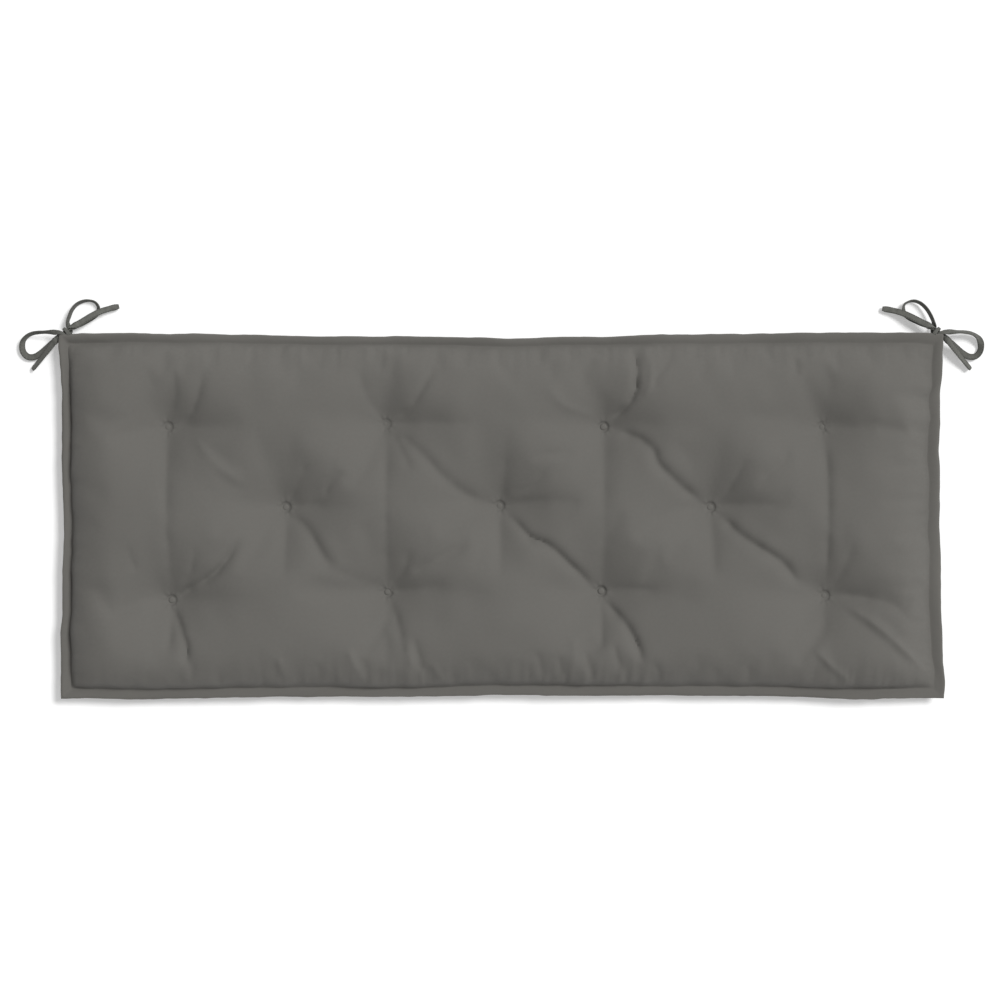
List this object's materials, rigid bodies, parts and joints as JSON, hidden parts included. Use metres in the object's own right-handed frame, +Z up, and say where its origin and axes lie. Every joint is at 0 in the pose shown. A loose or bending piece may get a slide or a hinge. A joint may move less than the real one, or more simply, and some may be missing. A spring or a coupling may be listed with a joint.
{
  "type": "bench cushion",
  "caption": "Long tufted bench cushion with a flat sewn flange, small covered buttons and fabric ties in bows at the back corners.",
  "frame": {"origin": "on the surface that the cushion lies on, under the middle of the cushion without its ties", "axes": "+X along the bench, to the right in the picture; +Y to the back edge, which has the ties; +Z up, out of the tufted face"},
  "size_m": [1.3175, 0.5433, 0.0685],
  "materials": {
    "cover_cloth": "plain-woven cotton blend, dark warm grey, matt",
    "button_cloth": "the cover's cloth drawn over a small dome, matt",
    "tie_cloth": "narrow folded and stitched strap of the cover's cloth, matt"
  },
  "bodies": {
    "root": {"cushion": "cover_cloth", "button_back_1": "button_cloth", "button_back_2": "button_cloth", "button_back_3": "button_cloth", "button_back_4": "button_cloth", "button_middle_1": "button_cloth", "button_middle_2": "button_cloth", "button_middle_3": "button_cloth", "button_front_1": "button_cloth", "button_front_2": "button_cloth", "button_front_3": "button_cloth", "button_front_4": "button_cloth", "tie_left_under": "tie_cloth", "tie_left_over": "tie_cloth", "tie_right_under": "tie_cloth", "tie_right_over": "tie_cloth"}
  },
  "joints": []
}
